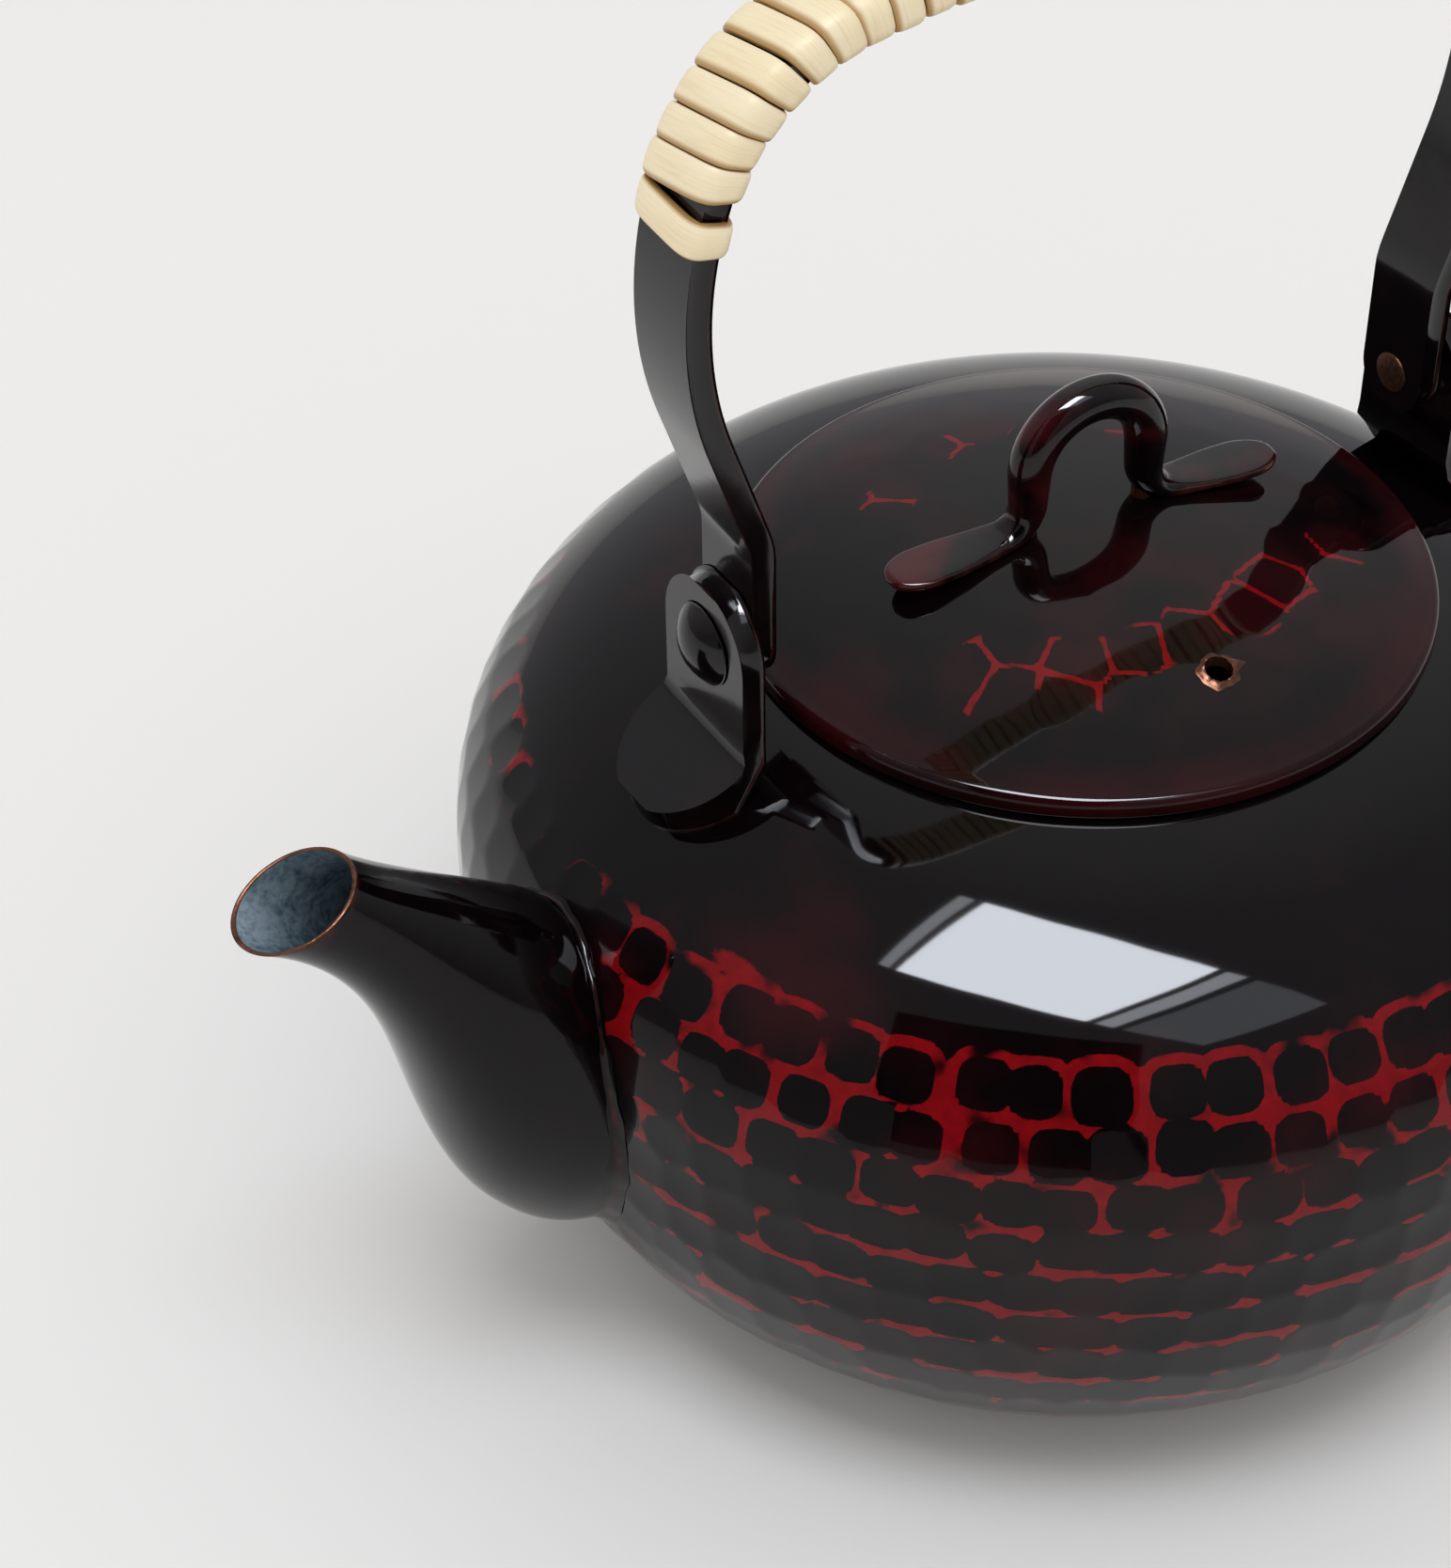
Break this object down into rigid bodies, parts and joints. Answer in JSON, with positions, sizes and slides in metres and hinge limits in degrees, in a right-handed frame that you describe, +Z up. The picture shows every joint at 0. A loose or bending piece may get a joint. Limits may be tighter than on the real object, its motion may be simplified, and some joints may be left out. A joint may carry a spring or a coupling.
{
  "type": "hammered copper kettle",
  "caption": "Squat round kettle of hammered lacquered copper with a short spout, a lift-off domed lid and a cane-wrapped swinging bail.",
  "frame": {"origin": "centre of the flat base, on the surface the kettle stands on", "axes": "+Z up; the spout points along -X; the bail's pivots lie along X; the steam hole is on the -Y side"},
  "size_m": [0.2274, 0.1844, 0.2154],
  "materials": {
    "lacquered_copper": "hammered copper under glossy black lacquer, red-brown in the grooves, tinned inside",
    "spout_copper": "smooth copper under glossy black lacquer, tinned bore, bare copper edge",
    "braze_lacquer": "brazing bead under gloss lacquer",
    "black_lacquer": "copper strap under glossy black lacquer",
    "rivet_copper": "copper rivet, lacquered head, bare peened end",
    "bail_lacquer": "flat copper strap under glossy black lacquer",
    "cane": "pale peeled cane strip, satin",
    "lid_lacquer": "copper under glossy brown-black lacquer with broken red markings",
    "collar_tin": "tinned copper, satin",
    "knob_lacquer": "forged copper rod under glossy black lacquer",
    "peened_copper": "bare peened copper"
  },
  "bodies": {
    "kettle": {"body_shell": "lacquered_copper", "spout": "spout_copper", "spout_braze": "braze_lacquer", "front_lug": "black_lacquer", "rear_lug": "black_lacquer", "front_rivet": "rivet_copper", "rear_rivet": "rivet_copper"},
    "bail": {"bail_strap": "bail_lacquer", "cane_wrap": "cane", "cane_turn_front": "cane", "cane_turn_rear": "cane"},
    "lid": {"lid_disc": "lid_lacquer", "lid_collar": "collar_tin", "knob_loop": "knob_lacquer", "knob_rivets": "peened_copper"}
  },
  "joints": [
    {"name": "bail_swing", "type": "hinge", "parent": "kettle", "child": "bail", "pos_m": [0, 0, 0.1191], "axis": [1, 0, 0], "range_deg": [-106, 106]},
    {"name": "lid_lift", "type": "slide", "parent": "kettle", "child": "lid", "axis": [0, 0, 1], "range_m": [0, 0.04]}
  ]
}
